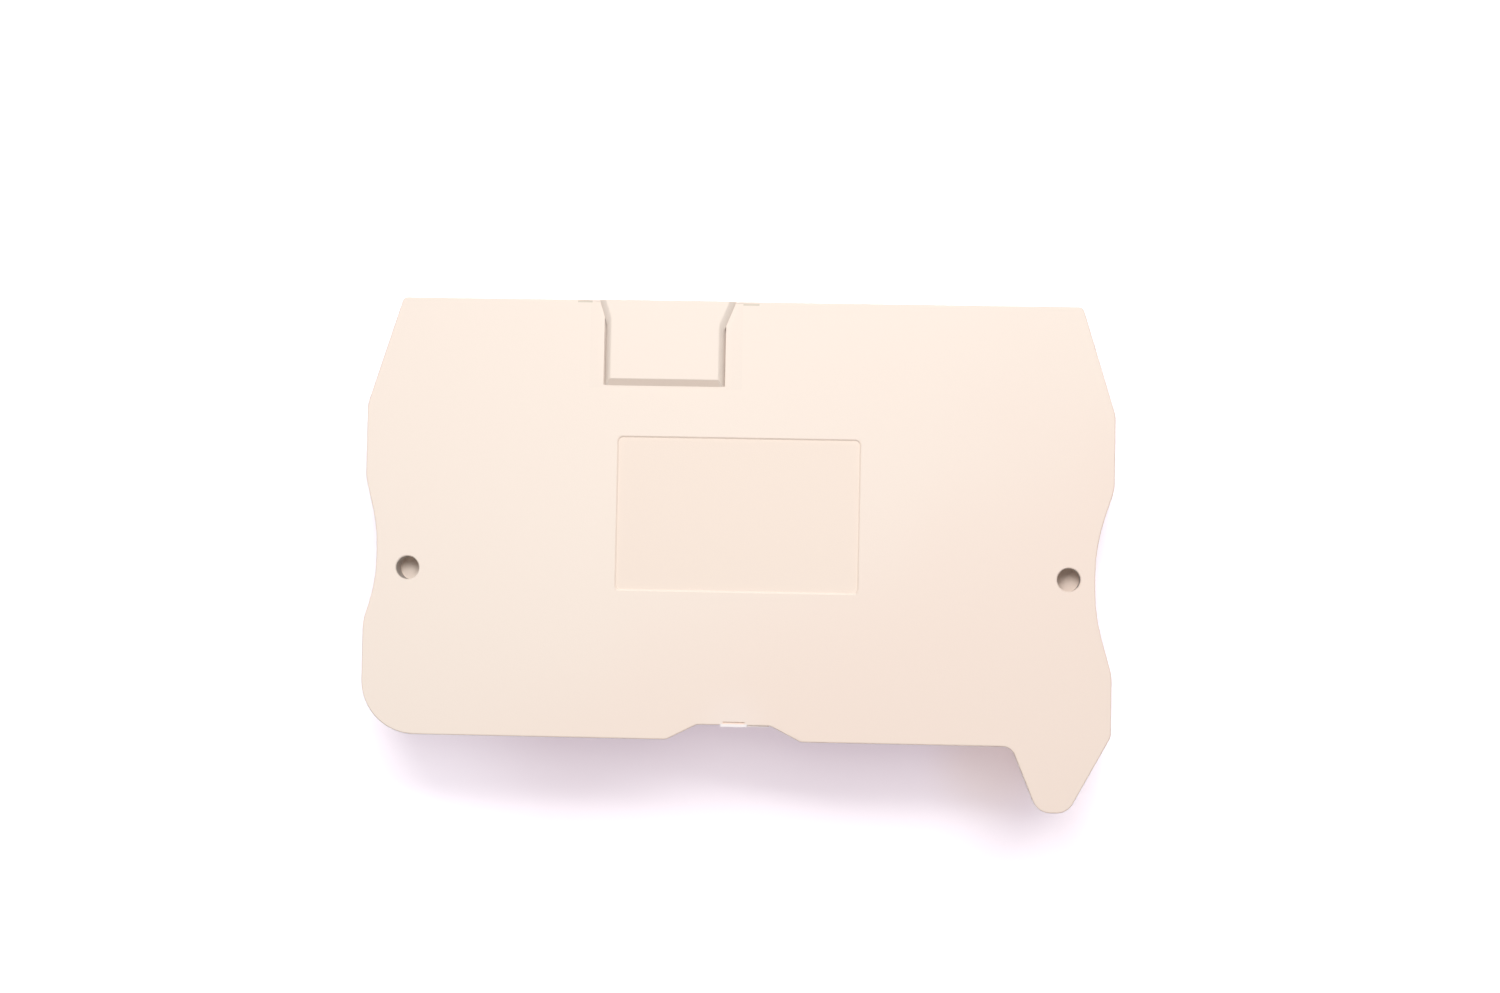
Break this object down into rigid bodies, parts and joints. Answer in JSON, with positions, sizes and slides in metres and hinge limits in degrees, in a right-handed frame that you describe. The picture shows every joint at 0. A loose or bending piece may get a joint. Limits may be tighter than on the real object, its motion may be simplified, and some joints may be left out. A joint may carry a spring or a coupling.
{
  "type": "terminal block end cover",
  "caption": "Flat moulded end cover for a rail terminal block, with a sloping foot, a raised jumper pocket at the top edge, a sunken panel and locating pegs on the back.",
  "frame": {"origin": "middle of the outline's box, level with the tips of the pegs that the cover lies on", "axes": "+X along the rail edge towards the foot, +Y from the rail edge towards the top edge, +Z out of the front face"},
  "size_m": [0.0486, 0.0326, 0.0041],
  "materials": {
    "cover_plastic": "fine matte moulded surface"
  },
  "bodies": {
    "root": {"end_cover": "cover_plastic"}
  },
  "joints": []
}
